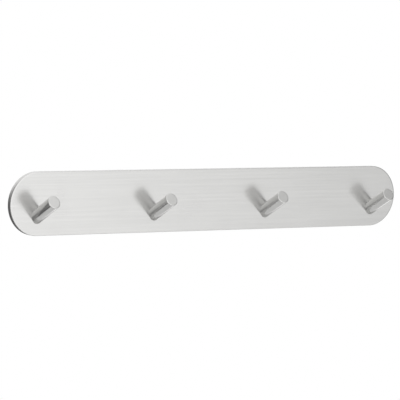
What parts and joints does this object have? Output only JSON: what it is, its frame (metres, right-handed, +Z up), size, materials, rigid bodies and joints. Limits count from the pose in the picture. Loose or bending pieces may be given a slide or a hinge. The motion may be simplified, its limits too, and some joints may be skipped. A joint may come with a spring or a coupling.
{
  "type": "wall hook rack",
  "caption": "Slim brushed steel wall rail with fully rounded ends and a row of short round pegs that lean upwards, fixed with adhesive foam tape.",
  "frame": {"origin": "centre of the wall side of the foam tape, behind the middle of the rail", "axes": "+X along the rail to the right as seen from the room, +Y into the wall, +Z up"},
  "size_m": [0.38, 0.0304, 0.05],
  "materials": {
    "rail_steel": "stainless steel sheet, fine lengthwise brushing, soft blurred reflections",
    "peg_steel": "stainless steel bar, smoother than the rail, with fine turning marks",
    "screw_steel": "plain stainless screws, satin",
    "pin_steel": "ground steel pins, satin",
    "foam_tape": "dark grey closed-cell acrylic foam tape, matt"
  },
  "bodies": {
    "root": {"back_plate": "rail_steel", "hook_peg_1": "peg_steel", "hook_peg_2": "peg_steel", "hook_peg_3": "peg_steel", "hook_peg_4": "peg_steel", "peg_screw_1": "screw_steel", "peg_screw_2": "screw_steel", "peg_screw_3": "screw_steel", "peg_screw_4": "screw_steel", "locating_pin_1": "pin_steel", "locating_pin_2": "pin_steel", "locating_pin_3": "pin_steel", "locating_pin_4": "pin_steel", "tape_pad_left_end": "foam_tape", "tape_pad_bay_1": "foam_tape", "tape_pad_bay_2": "foam_tape", "tape_pad_bay_3": "foam_tape", "tape_pad_right_end": "foam_tape"}
  },
  "joints": []
}
